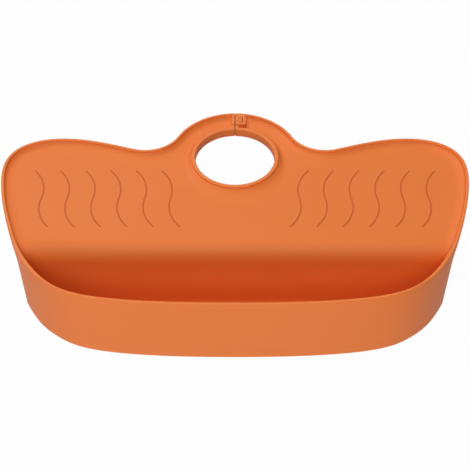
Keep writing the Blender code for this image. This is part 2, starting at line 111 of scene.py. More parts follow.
# Facets
RING_POINTS = 200
VALLEY_POINTS = 160
ARM_ROW_ANGLES = np.radians(np.arange(92, 150, 2))
ARM_ROOT_PIECES = 16
SLOT_PIECES = 12
SLOT_SUPPORT = 1.5
CORNER_PIECES = 4
EDGE_PIECES = 3
RIB_POINTS = 161
RIB_PROFILE_POINTS = 11
SHARP_ANGLE = math.radians(40)
OUTLINE_STEP = 0.0003
RIM_STEP = 0.0016
FRONT_STEP = 0.0020
COLLAR_ANGLE_STEP = math.radians(2)
LIP_PIECES = 5
FILLET_PIECES = 8
RAMP_PIECES = 10
WALL_LEVELS = 7
LOWER_LEVELS = 8
BEND_PIECES = 28
SHEET_PIECES = 8
SEAM_SUPPORT = 0.00025
MERGE_DISTANCE = 0.000002

# Silicone: how far each texture is moved in X, Y and Z by its shift, the patches' scale, how far down the lips the
# painted highlight reaches, the patches' share in it, the grain's share in the relief, how the roughness varies with
# the grain and the patches from a lowered base, and how much of the painted shade is left on the ribs' tops
SHIFT_SHARES = (1.0, 0.7, 0.3)
CLASP_SHIFT = 0.31
RIB_SHIFT = 0.12
PATCH_SCALE = 22.0
LIP_HIGHLIGHT_DEPTH = 0.0009
PATCH_HIGHLIGHT = 0.65
GRAIN_RELIEF = 0.35
ROUGHNESS_DROP = 0.05
GRAIN_ROUGHNESS = 0.08
PATCH_ROUGHNESS = 0.05
RIB_TOP_SHADE = 0.4

# Size and distance of each lamp, its turn from straight behind to the left and its rise above the counter in degrees
LAMPS = {
    "key": (0.45, 2.4, 44, 45),
    "back": (0.90, 1.5, 0, 48),
    "top": (1.30, 1.6, 0, 89),
    "side": (0.90, 1.5, 150, 50),
    "front": (0.90, 1.5, 180, 50),
    "low": (0.70, 1.5, 168, -4),
}
WHITE = (1.0, 1.0, 1.0, 1.0)
FLOOR_REACH = 12.0
FLOOR_WHITE = 0.97
CAMERA_PLACE = (0.0, -0.57242, 0.546416)
CAMERA_TILT = math.radians(90 - 47.103)
SENSOR_WIDTH = 36.0


def length(name, description, default):
    """A size in metres that the user may change."""
    return bpy.props.FloatProperty(
        name=name, description=description, default=default, min=0.0, precision=4, unit="LENGTH", subtype="DISTANCE")


def amount(name, description, default):
    """A plain number that the user may change."""
    return bpy.props.FloatProperty(name=name, description=description, default=default, min=0.0, precision=3)


def colour(name, description, default):
    """A colour that the user may change."""
    return bpy.props.FloatVectorProperty(
        name=name, description=description, default=default, size=3, min=0.0, max=1.0, subtype="COLOR")


class SkinSizes(bpy.types.PropertyGroup):
    """Sizes of the mat's one continuous skin."""

    half_width: length("Half width", "From the middle to the outside of one wing", 0.1509)
    wing_reach: length("Wing reach", "How far the wings reach behind the faucet's axis", 0.0175)
    front_reach: length("Front reach", "How far the pocket reaches ahead of the faucet's axis", FRONT_REACH)
    faucet_radius: length("Faucet radius", "Radius of the faucet opening", 0.0260)
    ring_band: length("Ring band", "Width of the ring round the faucet", 0.0168)
    valley_radius: length("Valley radius", "Radius of the curve between the ring and a wing", 0.0240)
    deck: length("Deck thickness", "Thickness of the deck", 0.0026)
    wall: length("Wall thickness", "Thickness of the rim and the pocket's walls", 0.0020)
    lip_top: length("Lip top", "Height of the rim above the counter", LIP_TOP)
    rim_fillet: length("Rim fillet", "Width of the fillet inside the rim", 0.0065)
    collar: length("Collar width", "Width of the raised lip round the faucet", 0.0027)
    collar_round: length("Collar rounding", "Radius of the collar's edge over the faucet opening", 0.0009)
    collar_step: length("Collar step", "Height of the step outside the collar's lip", 0.0015)
    collar_crease: length("Collar crease", "Radius of the crease at the foot of the step", 0.0003)
    collar_ramp: length("Collar ramp", "Width of the hollow ramp from the step down to the deck on the arms", 0.0036)
    front_ramp: length("Front ramp", "Width of the hollow ramp round the front of the faucet opening", 0.0075)
    lip_round: length("Lip rounding", "Radius of the lips' edges", 0.00055)
    foot_round: length("Foot rounding", "Radius of the deck's lower edge", 0.0005)
    bend_start: length("Bend start", "How far ahead of the faucet's axis the deck starts to bend down", 0.0694)
    bend_radius: length("Bend radius", "Inner radius of the bend over the sink's edge", 0.0084)
    drop: length("Pocket drop", "How far the pocket hangs below the counter", POCKET_DROP)
    wall_draft: length("Wall draft", "How far the pocket's walls are drawn in at their foot", 0.0021)
    floor: length("Floor thickness", "Thickness of the pocket's floor", 0.0026)
    floor_fillet: length("Floor fillet", "Radius inside the pocket where walls meet the floor", 0.0030)
    floor_round: length("Floor rounding", "Radius of the pocket's lower edge", 0.0018)
    corner_fillet: length("Corner fillet", "Radius inside the pocket where its end meets the back wall", 0.0045)
    corner_round: length("Corner rounding", "Radius outside the pocket where its end meets the back wall", 0.0026)
    slot_count: bpy.props.IntProperty(name="Drain slots", description="Number of slots in the floor", default=7, min=1)
    slot_pitch: length("Slot pitch", "Distance between the drain slots' middles", 0.0300)
    slot_length: length("Slot length", "Length of a drain slot", 0.0140)
    slot_width: length("Slot width", "Width of a drain slot", 0.0040)
    slot_round: length("Slot rounding", "Radius of the drain slots' edges", 0.0004)


class RibSizes(bpy.types.PropertyGroup):
    """Sizes of the S-shaped drain ribs."""

    count: bpy.props.IntProperty(name="Ribs a side", description="Number of ribs on each wing", default=6, min=1)
    first: length("First rib", "From the middle of the mat to the first rib", 0.0411)
    pitch: length("Pitch", "Distance between neighbouring ribs", 0.0165)
    middle: length("Middle", "How far ahead of the faucet's axis the ribs' middles are", 0.0351)
    width: length("Width", "Width of a rib at its foot", 0.0010)
    height: length("Height", "Height of a rib above the deck", 0.0011)
    arc_radius: length("Arc radius", "Radius of each half of the S", 0.0271)
    arc_chord: length("Arc chord", "Length of each half of the S, end to end", 0.0261)
    tilt: bpy.props.FloatProperty(
        name="Tilt", description="Lean of the S from straight ahead", default=math.radians(15.3), subtype="ANGLE")


class ClaspSizes(bpy.types.PropertyGroup):
    """Sizes of the hook and the keeper that close the ring behind the faucet."""

    gap: length("Half split", "Half of the shadow line between the two arms", 0.00022)
    touch: length("Half touch", "Half of the gap between the flats inside the shadow line", 0.000005)
    groove_depth: length("Split depth", "Depth of the shadow line between the arms", 0.0008)
    front: length("Front", "Front of the end plates", 0.0282)
    back: length("Back", "Back of the end plates, sunk in the rim", 0.0410)
    plate: length("End plate", "Thickness of an end plate", 0.0021)
    keeper: length("Keeper length", "How far the keeper reaches along its arm", 0.0071)
    keeper_front: length("Keeper front", "Front of the keeper block", 0.0315)
    tab_middle: length("Tab middle", "Middle of the T-shaped tab", 0.0360)
    stem: length("Stem width", "Width of the tab's stem", 0.0021)
    head: length("Head length", "Length of the tab's head", 0.0048)
    head_thickness: length("Head thickness", "Thickness of the tab's head", 0.0016)
    reach: length("Tab reach", "How far the tab reaches past the split", 0.0049)
    clearance: length("Clearance", "Gap between the tab and its slot", 0.0002)
    end_clearance: length("End clearance", "Gap between the tab's far end and its slot", 0.0004)
    groove: length("Groove width", "Width of the groove in front of the clasp", 0.0009)
    edge: length("Edge rounding", "Radius of the edges of the clasp and of the arms' ends", 0.0002)
    sink: length("Top sink", "How far the clasp's top lies below the lips", 0.00005)


class FinishSettings(bpy.types.PropertyGroup):
    """Colours and texture of the silicone, with a painted highlight on the lips and painted shade at the split and
    ribs.
    """

    body: colour("Body", "Main colour of the silicone", (0.813, 0.194, 0.034))
    warm: colour("Warm", "Colour of the slightly deeper patches", (0.797, 0.187, 0.031))
    # Painted highlight: a lighter colour along the lips' tops, in place of the light that falls on their edges
    lip_highlight: colour("Lip highlight", "Colour along the tops of the lips", (0.832, 0.220, 0.050))
    # Painted shade: a darker colour on the ribs' flanks towards their feet and on the arms' and clasp's ends at the
    # split
    painted_shade: colour("Painted shade", "Colour of the ribs' feet and of the split between the arms", (0.560, 0.100, 0.010))
    roughness: amount("Roughness", "Roughness of the matt skin", 0.56)
    gloss: amount("Gloss", "Strength of the skin's gloss", 0.40)
    grain: length("Grain", "Size of the fine grain left by the mould", 0.0005)
    ripple: length("Ripple", "Size of the slow ripples of the skin", 0.0060)


class StudioSettings(bpy.types.PropertyGroup):
    """Floor, lamps and camera."""

    floor_drop: length("Floor drop", "How far the floor lies below the counter", 0.40)
    floor_colour: colour("Floor", "Colour of the floor", (0.85, 0.85, 0.85))
    key: amount("Key lamp", "Light of the small lamp behind on the left, where 1 lights white paper white", 0.32)
    back: amount("Back lamp", "Light of the lamp straight behind, whose sheen the deck shows", 0.19)
    top: amount("Top lamp", "Light of the lamp overhead", 0.20)
    side: amount("Side lamp", "Light of the lamp in front on the left", 0.12)
    front: amount("Front lamp", "Light of the high lamp in front", 0.42)
    low: amount("Low lamp", "Light of the low lamp in front, at the counter's height", 0.37)
    lens: amount("Lens", "Focal length in millimetres", 91.75)


class Outline:
    """Left half of the mat's outline, from the split behind the faucet round to the middle of the front."""

    def __init__(self, sizes):
        self.ring = ring = sizes.faucet_radius + sizes.ring_band
        blend = math.pi - VALLEY_BLEND_ANGLE
        centre = polar(ring + sizes.valley_radius, blend)
        turn_end = -math.pi / 2 - VALLEY_END_ANGLE
        angles = np.linspace(math.pi / 2, blend, RING_POINTS)
        points = [polar(ring, angle) for angle in angles]
        inward = [(-math.cos(angle), -math.sin(angle)) for angle in angles]
        angles = np.linspace(-VALLEY_BLEND_ANGLE, turn_end, VALLEY_POINTS)[1:]
        points += [polar(sizes.valley_radius, angle, centre) for angle in angles]
        inward += [(math.cos(angle), math.sin(angle)) for angle in angles]
        wing = [points[-1]]
        wing += [(-across * sizes.half_width, back * sizes.wing_reach) for across, back in WING_OUTLINE_SHARES]
        wing += [(-across * sizes.half_width, -ahead * sizes.front_reach) for across, ahead in SIDE_OUTLINE_SHARES]
        leaving = (-math.cos(VALLEY_END_ANGLE), math.sin(VALLEY_END_ANGLE))
        curve = spline_through(wing, leaving, (1.0, 0.0), OUTLINE_STEP)
        along = np.gradient(curve, axis=0)
        along[-1] = (1.0, 0.0)
        along /= np.hypot(along[:, 0], along[:, 1])[:, None]
        points = np.array(points + [tuple(point) for point in curve[1:]])
        inward = np.array(inward + [(-step[1], step[0]) for step in along[1:]])
        self.x = np.maximum(points[:, 0], CAD_BOX[0][0])
        self.y = points[:, 1]
        self.inward_x, self.inward_y = inward[:, 0], inward[:, 1]
        self.run = np.concatenate([[0.0], np.cumsum(np.hypot(*np.diff(points, axis=0).T))])
        self.end = self.run[-1]
        self.seam = ring * (blend - math.pi / 2) + sizes.valley_radius * (VALLEY_SEAM_ANGLE - VALLEY_BLEND_ANGLE)
        self.side = self.run > self.run[len(self.run) - len(curve) + int(np.argmax(curve[:, 1]))]
        self.lip = sizes.wall * self.varying(LIP_WIDTHS)
        self.drawn = sizes.wall_draft / sizes.drop * self.varying(FOOT_DRAFTS)

    def varying(self, keys):
        """A value at each run of the outline that turns gently at its keys."""
        places, values = zip(*keys)
        order = np.arange(len(keys))
        share = np.interp(self.run / self.end, places, order)
        lower = np.minimum(share.astype(int), len(keys) - 2)
        return np.interp(lower + smooth_share(share - lower), order, values)

    def at(self, run, values):
        """One of the outline's values at a run."""
        return float(np.interp(run, self.run, values))

    def inside(self, depth, height, walls):
        """Depth inside the outline at each run: the walls passed, their draft at a height, and a depth past them."""
        return depth + walls * self.lip + max(-height, 0.0) * self.drawn

    def point(self, run, height, depth=0.0, walls=0):
        """Point at a run, a height and a depth inside the outline, or past its wall."""
        inside = self.at(run, self.inside(depth, height, walls))
        x = self.at(run, self.x) + inside * self.at(run, self.inward_x)
        y = self.at(run, self.y) + inside * self.at(run, self.inward_y)
        return (x, y, height)

    def run_at(self, y, depth=0.0, height=0.0, walls=0):
        """Run at which the side, at a depth inside the outline or past its wall, passes a Y."""
        inside = self.y + self.inside(depth, height, walls) * self.inward_y
        return float(np.interp(-y, -inside[self.side], self.run[self.side]))

    def reach(self, y, depth=0.0, height=0.0, walls=0):
        """Distance from the middle to the side, at a depth inside the outline or past its wall, at a Y."""
        return -self.point(self.run_at(y, depth, height, walls), height, depth, walls)[0]


class Shell:
    """Points and faces of a surface, gathered strip by strip."""

    def __init__(self):
        self.points = []
        self.faces = []

    def face(self, points):
        """Add one flat face."""
        start = len(self.points)
        self.points += points
        self.faces.append(tuple(range(start, len(self.points))))

    def strips(self, rows, closed=False):
        """Add the quads between neighbouring rows of as many points each."""
        for first, second in zip(rows, rows[1:]):
            start, count = len(self.points), len(first)
            self.points += list(first) + list(second)
            for index in range(count if closed else count - 1):
                after = (index + 1) % count
                self.faces.append((start + index, start + after, start + count + after, start + count + index))

    def mirror(self):
        """Add the other half, mirrored across X = 0."""
        start = len(self.points)
        self.points += [(-x, y, z) for x, y, z in self.points]
        self.faces += [tuple(start + index for index in face[::-1]) for face in list(self.faces)]

    def shape(self):
        """A bmesh of the surface, with the shared points merged."""
        mesh = bpy.data.meshes.new("shell")
        mesh.from_pydata(self.points, [], self.faces)
        made = bmesh.new()
        made.from_mesh(mesh)
        bpy.data.meshes.remove(mesh)
        bmesh.ops.remove_doubles(made, verts=made.verts, dist=MERGE_DISTANCE)
        return made


def polar(radius, angle, centre=(0.0, 0.0)):
    """A plan point at a radius and an angle from +X."""
    return (centre[0] + radius * math.cos(angle), centre[1] + radius * math.sin(angle))


def spline_through(points, first_direction, last_direction, step):
    """Points along the smooth cubic curve through the given plan points, leaving and arriving as directed."""
    knots = np.array(points, dtype=float)
    spans = np.hypot(*np.diff(knots, axis=0).T)
    count = len(knots)
    matrix = np.eye(count)
    slopes = np.zeros((count, 2))
    slopes[0] = first_direction
    slopes[-1] = last_direction
    for index in range(1, count - 1):
        before, after = spans[index - 1], spans[index]
        matrix[index, index - 1:index + 2] = (after, 2 * (before + after), before)
        run_in = (knots[index] - knots[index - 1]) / before
        run_out = (knots[index + 1] - knots[index]) / after
        slopes[index] = 3 * (after * run_in + before * run_out)
    slopes = np.linalg.solve(matrix, slopes)
    curve = [knots[0]]
    for index, span in enumerate(spans):
        pieces = max(1, round(span / step))
        for part in range(1, pieces + 1):
            share = part / pieces
            rise = smooth_share(share)
            leave = share * (1 - share) ** 2 * span
            arrive = share * share * (share - 1) * span
            blend = knots[index] * (1 - rise) + knots[index + 1] * rise
            curve.append(blend + slopes[index] * leave + slopes[index + 1] * arrive)
    return np.array(curve)


def quarter(start, corner, end, pieces):
    """Points of the quarter ellipse from start to end whose tangents meet in the corner."""
    start, corner, end = (np.array(point, dtype=float) for point in (start, corner, end))
    centre = start + end - corner
    points = []
    for index in range(pieces + 1):
        angle = math.pi / 2 * index / pieces
        points.append(tuple(centre + (start - centre) * math.cos(angle) + (end - centre) * math.sin(angle)))
    return points


def levels(first, last, pieces):
    """The points strictly between two points, in equal steps."""
    first, last = np.array(first, dtype=float), np.array(last, dtype=float)
    return [tuple(first + (last - first) * index / pieces) for index in range(1, pieces)]


def evenly(first, last, pieces):
    """The ends of so many equal pieces from the first value to the last."""
    return [first + (last - first) * index / pieces for index in range(1, pieces + 1)]


def smooth_share(share):
    """A share from 0 to 1 that starts and ends gently."""
    return share * share * (3 - 2 * share)


def lip_over(sizes, width, first):
    """Depth and height of a lip's top, from its outer face with a first rounding over to its inner one."""
    edge, top = sizes.lip_round, sizes.lip_top
    section = quarter((0, top - first), (0, top), (first, top), LIP_PIECES)
    return section + quarter((width - edge, top), (width, top), (width, top - edge), LIP_PIECES)


def lip_outside(sizes, width, first):
    """Depth and height of a raised lip, from under its foot up the outer face and over the top."""
    foot = sizes.foot_round
    section = [(foot * 2, 0.0)]
    section += quarter((foot, 0), (0, 0), (0, foot), LIP_PIECES)
    section += levels((0, foot), (0, sizes.lip_top - first), WALL_LEVELS)
    return section + lip_over(sizes, width, first)


def rim_section(sizes, width):
    """Depth and height of the rim, from under its foot over the top and down its fillet to the deck."""
    foot, edge, deck = sizes.foot_round, sizes.lip_round, sizes.deck
    section = lip_outside(sizes, width, edge)
    lip_foot, fillet_top = sizes.lip_top - edge, sizes.lip_top - edge - foot / 2
    section += levels((width, lip_foot), (width, fillet_top), WALL_LEVELS)
    section += quarter((width, fillet_top), (width, deck), (width + sizes.rim_fillet, deck), FILLET_PIECES)
    section.append((width + sizes.rim_fillet + foot, deck))
    return section


def collar_section(sizes, ramp):
    """Depth and height of the collar, from under its foot over the lip, down a step and a hollow ramp to the deck."""
    width, crease, deck = sizes.collar, sizes.collar_crease, sizes.deck
    shelf = sizes.lip_top - sizes.collar_step
    section = lip_outside(sizes, width, sizes.collar_round)
    section += quarter((width, shelf + crease), (width, shelf), (width + crease, shelf), LIP_PIECES)
    for index in range(1, RAMP_PIECES + 1):
        share = index / RAMP_PIECES
        section.append((width + crease + ramp * share, deck + (shelf - deck) * (1 - share) ** 2))
    section.append((section[-1][0] + sizes.foot_round, deck))
    return section


def rim_row(sizes, outline, run):
    """The rim's section at a run of the outline."""
    return [outline.point(run, z, depth) for depth, z in rim_section(sizes, outline.at(run, outline.lip))]


def collar_row(sizes, angle):
    """The collar's section at an angle round the faucet, with a ramp that widens ahead of the arms."""
    share = smooth_share(min(max((angle - COLLAR_SEAM_ANGLE) / RAMP_BLEND_ANGLE - RAMP_DELAY, 0.0), 1.0))
    ramp = sizes.collar_ramp + (sizes.front_ramp - sizes.collar_ramp) * share
    return [polar(sizes.faucet_radius + depth, angle) + (z,) for depth, z in collar_section(sizes, ramp)]


class Bend:
    """One row across the mat where the deck bends down: the sheet, and the rim and wall at its end."""

    def __init__(self, sizes, outline, share, start):
        self.sizes, self.outline = sizes, outline
        self.angle = math.pi / 2 * share
        self.start = start
        gentle = smooth_share(share)
        lean = 1 / math.cos(SIDE_LEAN_ANGLE)
        edge, foot = sizes.lip_round, sizes.foot_round
        self.under = sizes.bend_radius
        self.over = sizes.bend_radius + sizes.deck
        self.round = foot + (sizes.corner_round - foot) * gentle
        self.fillet = sizes.rim_fillet * lean * (1 - gentle) + sizes.corner_fillet * gentle
        fillet_rise = sizes.lip_top - edge - foot / 2 - sizes.deck
        self.rise = fillet_rise * (1 - gentle) + sizes.corner_fillet * gentle

    def place(self, radius):
        """Y and Z at a radius from the bend's axis."""
        return (-self.start - radius * math.sin(self.angle), -self.under + radius * math.cos(self.angle))

    def from_wall(self, walls, across, radius):
        """Point at a distance from the end wall's outer or inner face, at a radius from the bend's axis."""
        y, z = self.place(radius)
        return (across - self.outline.reach(y, 0, z, walls), y, z)

    def row(self):
        """Points from the middle of the underside round the end wall and the lip to the middle of the top."""
        sizes, outline = self.sizes, self.outline
        edge, top, support = sizes.lip_round, sizes.lip_top, sizes.foot_round
        foot_y, foot_z = self.place(self.under + self.round)
        inner_y, inner_z = self.place(self.over + self.rise)
        self.foot_run = outline.run_at(foot_y, 0, foot_z)
        self.lip_run = outline.run_at(inner_y, walls=1)
        outer = [self.from_wall(0, self.round + support, self.under)]
        corner = quarter((self.round, self.under), (0, self.under), (0, self.under + self.round), LIP_PIECES)
        outer += [self.from_wall(0, across, radius) for across, radius in corner]
        wall = levels((self.foot_run, foot_z), (self.lip_run, top - edge), WALL_LEVELS)
        outer += [outline.point(run, z) for run, z in wall]
        section = lip_over(sizes, outline.at(self.lip_run, outline.lip), sizes.lip_round)
        lip = [outline.point(self.lip_run, z, depth) for depth, z in section]
        inner = []
        for (z,) in levels((top - edge,), (inner_z,), WALL_LEVELS):
            inner.append((-outline.reach(inner_y, 0, z, 1), inner_y, z))
        corner = quarter((0, self.over + self.rise), (0, self.over), (self.fillet, self.over), FILLET_PIECES)
        inner += [self.from_wall(1, across, radius) for across, radius in corner]
        inner.append(self.from_wall(1, self.fillet + support, self.over))
        self.outer, self.lip, self.inner = outer, lip, inner
        return self.to_middle(outer[0])[::-1] + outer + lip + inner + self.to_middle(inner[-1])

    @staticmethod
    def to_middle(point):
        """Points from one point straight across to the middle of the mat, without the first."""
        x, y, z = point
        return [(x * (1 - index / SHEET_PIECES), y, z) for index in range(1, SHEET_PIECES + 1)]


def moved_left(plan, ahead, depth):
    """Plan points moved to the left of their path, given the directions before and after each of them."""
    ahead = ahead / np.hypot(ahead[:, 0], ahead[:, 1])[:, None]
    normals = np.column_stack([-ahead[:, 1], ahead[:, 0]])
    miter = normals[:-1] + normals[1:]
    miter /= (miter * normals[:-1]).sum(axis=1)[:, None]
    return plan + miter * depth


def inset_loop(loop, depth, height):
    """A loop from the middle of the back wall to the middle of the front, moved inwards by a depth."""
    plan = np.array([(x, y) for x, y, _ in loop])
    ahead = np.diff(plan, axis=0)
    ahead = np.vstack([ahead[:1] * (1, 0), ahead, ahead[-1:] * (1, 0)])
    return [(x, y, height) for x, y in moved_left(plan, ahead, depth)]


def pocket_loops(sizes, outline, bend, runs, foot_runs):
    """Loops of the pocket inside and outside, from below the bend down to the floor."""
    support = sizes.foot_round

    def half_loops(walls, face, corner, end_runs, floor, fillet, pieces):
        """Half loops of one side of the walls down to a floor: the back wall's face, the corner, the end and front."""
        loops = []
        heights = np.linspace(-bend.under, floor + fillet, LOWER_LEVELS + 1)
        for height in heights:
            points = []
            for across, rise in corner:
                y = face - rise
                points.append((across - outline.reach(y, 0, height, walls), y, height))
            edge = (points[0][0] + support, face, height)
            points = Bend.to_middle(edge)[::-1] + [edge] + points
            loops.append(points + [outline.point(run, height, 0, walls) for run in end_runs])
        for across, z in quarter((0, heights[-1]), (0, floor), (fillet, floor), pieces)[1:]:
            loops.append(inset_loop(loops[LOWER_LEVELS], across, z))
        return loops + [inset_loop(loops[LOWER_LEVELS], fillet + support, floor)]

    corner = quarter((0, bend.rise), (0, 0), (bend.fillet, 0), FILLET_PIECES)[::-1]
    floor = sizes.floor - sizes.drop
    inner = half_loops(1, -bend.start - bend.over, corner, runs, floor, sizes.floor_fillet, FILLET_PIECES)
    corner = quarter((bend.round, 0), (0, 0), (0, bend.round), LIP_PIECES)
    floor = -sizes.drop
    outer = half_loops(0, -bend.start - bend.under, corner, foot_runs, floor, sizes.floor_round, LIP_PIECES)
    return inner, outer


def slot_rows(sizes, middle, across):
    """Rows of a drain slot's wall through the floor, with rounded edges."""
    top, bottom, edge = sizes.floor - sizes.drop, -sizes.drop, sizes.slot_round
    radius = sizes.slot_width / 2
    half = sizes.slot_length / 2 - radius
    profile = [(edge * SLOT_SUPPORT, bottom)]
    profile += quarter((edge, bottom), (0, bottom), (0, bottom + edge), LIP_PIECES - 1)
    profile += quarter((0, top - edge), (0, top), (edge, top), LIP_PIECES - 1)
    profile.append((edge * SLOT_SUPPORT, top))
    rows = []
    for grow, height in profile:
        row = []
        for centre, start in ((middle + half, -math.pi / 2), (middle - half, math.pi / 2)):
            for index in range(SLOT_PIECES + 1):
                row.append(polar(radius + grow, start + math.pi * index / SLOT_PIECES, (centre, across)) + (height,))
        rows.append(row)
    return rows


def band_loop(rim, collar):
    """Closed section of the ring's band: over the rim, the deck and the collar, and back along the underside."""
    return rim + collar[::-1] + [(*collar[-1][:-1], 0.0), (*rim[-1][:-1], 0.0)]


def band_caps(loop, count):
    """Three faces that close the band's section, whose rim has so many points."""
    rim, collar = loop[:count], loop[count:-2]
    under_collar, under_rim = loop[-2:]
    return [rim + [under_rim], [rim[-1], collar[0], under_collar, under_rim], collar + [under_collar]]


def fill_flat(shape, height):
    """Close the open edges that lie at a height."""
    edges = [
        edge for edge in shape.edges
        if edge.is_boundary and all(abs(vert.co.z - height) < MERGE_DISTANCE for vert in edge.verts)
    ]
    if not edges:
        raise RuntimeError("nothing is open at %.4f m" % height)
    bmesh.ops.triangle_fill(shape, edges=edges, use_beauty=True, normal=(0, 0, 1))


def placed(name, data):
    """A new object of a mesh, a lamp or a camera, in the scene."""
    made = bpy.data.objects.new(name, data)
    bpy.context.scene.collection.objects.link(made)
    return made


def finish_piece(name, shape, material, smooth_angle=50):
    """Turn a closed bmesh into a smooth object with its normals outwards."""
    bmesh.ops.recalc_face_normals(shape, faces=shape.faces)
    open_edges = sum(not edge.is_manifold for edge in shape.edges)
    if open_edges:
        raise RuntimeError("%s has %d open edges" % (name, open_edges))
    if shape.calc_volume(signed=True) < 0:
        bmesh.ops.reverse_faces(shape, faces=shape.faces)
    mesh = bpy.data.meshes.new(name)
    shape.to_mesh(mesh)
    shape.free()
    mesh.shade_smooth()
    mesh.set_sharp_from_angle(angle=math.radians(smooth_angle))
    mesh.materials.append(material)
    return placed(name, mesh)


def mat_skin(sizes):
    """The main skin: deck, rims, collar front, bend and pocket, as one closed bmesh."""
    outline = Outline(sizes)
    shell = Shell()

    last = outline.run_at(-sizes.bend_start + RIM_END)
    steps = math.ceil((last - outline.seam) / RIM_STEP)
    runs = [outline.seam, outline.seam + SEAM_SUPPORT] + evenly(outline.seam, last, steps)
    rim_rows = [rim_row(sizes, outline, run) for run in runs]

    bends = [Bend(sizes, outline, 0, sizes.bend_start - sizes.foot_round)]
    bends += [Bend(sizes, outline, index / BEND_PIECES, sizes.bend_start) for index in range(BEND_PIECES + 1)]
    bend_rows = [bend.row() for bend in bends]
    shell.strips(rim_rows + [bends[0].outer + bends[0].lip + bends[0].inner])
    shell.strips(bend_rows)

    lowest = bends[-1]
    steps = math.ceil((outline.end - lowest.lip_run) / FRONT_STEP)
    runs = evenly(lowest.lip_run, outline.end, steps)
    stretch = (outline.end - lowest.foot_run) / (outline.end - lowest.lip_run)
    foot_runs = [outline.end - (outline.end - run) * stretch for run in runs]
    inner, outer = pocket_loops(sizes, outline, lowest, runs, foot_runs)
    shell.strips(inner)
    shell.strips(outer)

    lip_foot = sizes.lip_top - sizes.lip_round
    half = len(lowest.outer) - WALL_LEVELS
    rows = []
    for index, point in enumerate(lowest.outer[half:]):
        share = index / WALL_LEVELS
        z = -lowest.under + (lip_foot + lowest.under) * share
        ends = [low + (high - low) * share for low, high in zip(foot_runs, runs)]
        rows.append([point] + [outline.point(run, z) for run in ends])
    sections = [lip_over(sizes, outline.at(run, outline.lip), sizes.lip_round) for run in runs]
    for point, places in zip(lowest.lip, zip(*sections)):
        rows.append([point] + [outline.point(run, z, depth) for run, (depth, z) in zip(runs, places)])
    for index, point in enumerate(lowest.inner[:WALL_LEVELS]):
        z = lip_foot - (lip_foot + lowest.under) * (index + 1) / WALL_LEVELS
        rows.append([point] + [outline.point(run, z, 0, 1) for run in runs])
    shell.strips(rows)

    steps = round((math.pi * 3 / 2 - COLLAR_SEAM_ANGLE) / COLLAR_ANGLE_STEP)
    angles = [COLLAR_SEAM_ANGLE, COLLAR_SEAM_ANGLE + SEAM_SUPPORT / sizes.faucet_radius]
    angles += evenly(COLLAR_SEAM_ANGLE, math.pi * 3 / 2, steps)
    collar_rows = [collar_row(sizes, angle) for angle in angles]
    shell.strips(collar_rows)
    for cap in band_caps(band_loop(rim_rows[0], collar_rows[0]), len(rim_rows[0])):
        shell.face(cap)

    shell.mirror()
    across = (-lowest.start - lowest.under - sizes.front_reach) / 2
    for index in range(sizes.slot_count):
        rows = slot_rows(sizes, (index - (sizes.slot_count - 1) / 2) * sizes.slot_pitch, across)
        shell.strips(rows, closed=True)
    shape = shell.shape()
    for height in (sizes.deck, 0.0, sizes.floor - sizes.drop, -sizes.drop):
        fill_flat(shape, height)
    return shape


def split_rows(sizes, clasp, ring, rim, collar):
    """Rows of an arm's end: rounded edges, a shadow groove all round, and a flat that meets the other arm."""
    rim = [(ring - depth, z) for depth, z in rim]
    collar = [(sizes.faucet_radius + depth, z) for depth, z in collar]
    section = np.array(band_loop(rim, collar))
    ahead = np.roll(section, -1, axis=0) - section
    ahead = np.vstack([ahead[-1:], ahead])
    steps = [(clasp.touch, clasp.groove_depth), (clasp.gap, clasp.groove_depth)]
    steps += quarter((clasp.gap, clasp.edge), (clasp.gap, 0), (clasp.gap + clasp.edge, 0), LIP_PIECES)
    rows = []
    for x, inset in steps:
        inner = moved_left(section, ahead, inset)
        rows.append([(-x, math.sqrt(radius * radius - x * x), z) for radius, z in inner.tolist()])
    return rows


def arm_skin(sizes, clasp, side):
    """One ring arm with the part of the deck and rim that its root bends, as one closed bmesh."""
    outline = Outline(sizes)
    shell = Shell()
    rim, collar = rim_section(sizes, outline.at(0, outline.lip)), collar_section(sizes, sizes.collar_ramp)
    rows = split_rows(sizes, clasp, outline.ring, rim, collar)
    stations = [(outline.ring * (angle - math.pi / 2), angle) for angle in ARM_ROW_ANGLES]
    root = outline.ring * (ARM_ROOT_ANGLE - math.pi / 2)
    near = 1 - SEAM_SUPPORT / (outline.seam - root)
    for share in list(np.linspace(0, 1, ARM_ROOT_PIECES + 1)[:-1]) + [near, 1.0]:
        run = root + (outline.seam - root) * share
        stations.append((run, ARM_ROOT_ANGLE + (COLLAR_SEAM_ANGLE - ARM_ROOT_ANGLE) * share))
    for run, angle in stations:
        rim = rim_row(sizes, outline, run)
        rows.append(band_loop(rim, collar_row(sizes, angle)))
    shell.strips(rows, closed=True)
    for row in (rows[0], rows[-1]):
        for cap in band_caps(row, len(rim)):
            shell.face(cap)
    if side > 0:
        shell.points = [(-x, y, z) for x, y, z in shell.points]
    return shell.shape()


def block(shape, outline, low, high):
    """Add an upright block of a plan outline to a bmesh."""
    rows = [[shape.verts.new((x, y, height)) for x, y in outline] for height in (low, high)]
    for index in range(len(outline)):
        after = (index + 1) % len(outline)
        shape.faces.new((rows[0][index], rows[0][after], rows[1][after], rows[1][index]))
    shape.faces.new(rows[0][::-1])
    shape.faces.new(rows[1])


def round_edges(shape, radius):
    """Round every edge of a bmesh that isn't nearly flat."""
    bmesh.ops.recalc_face_normals(shape, faces=shape.faces)
    edges = [edge for edge in shape.edges if edge.calc_face_angle(0) > SHARP_ANGLE]
    bmesh.ops.bevel(
        shape, geom=edges, offset=radius, offset_type="OFFSET", segments=EDGE_PIECES, profile=0.5, affect="EDGES",
        clamp_overlap=True)


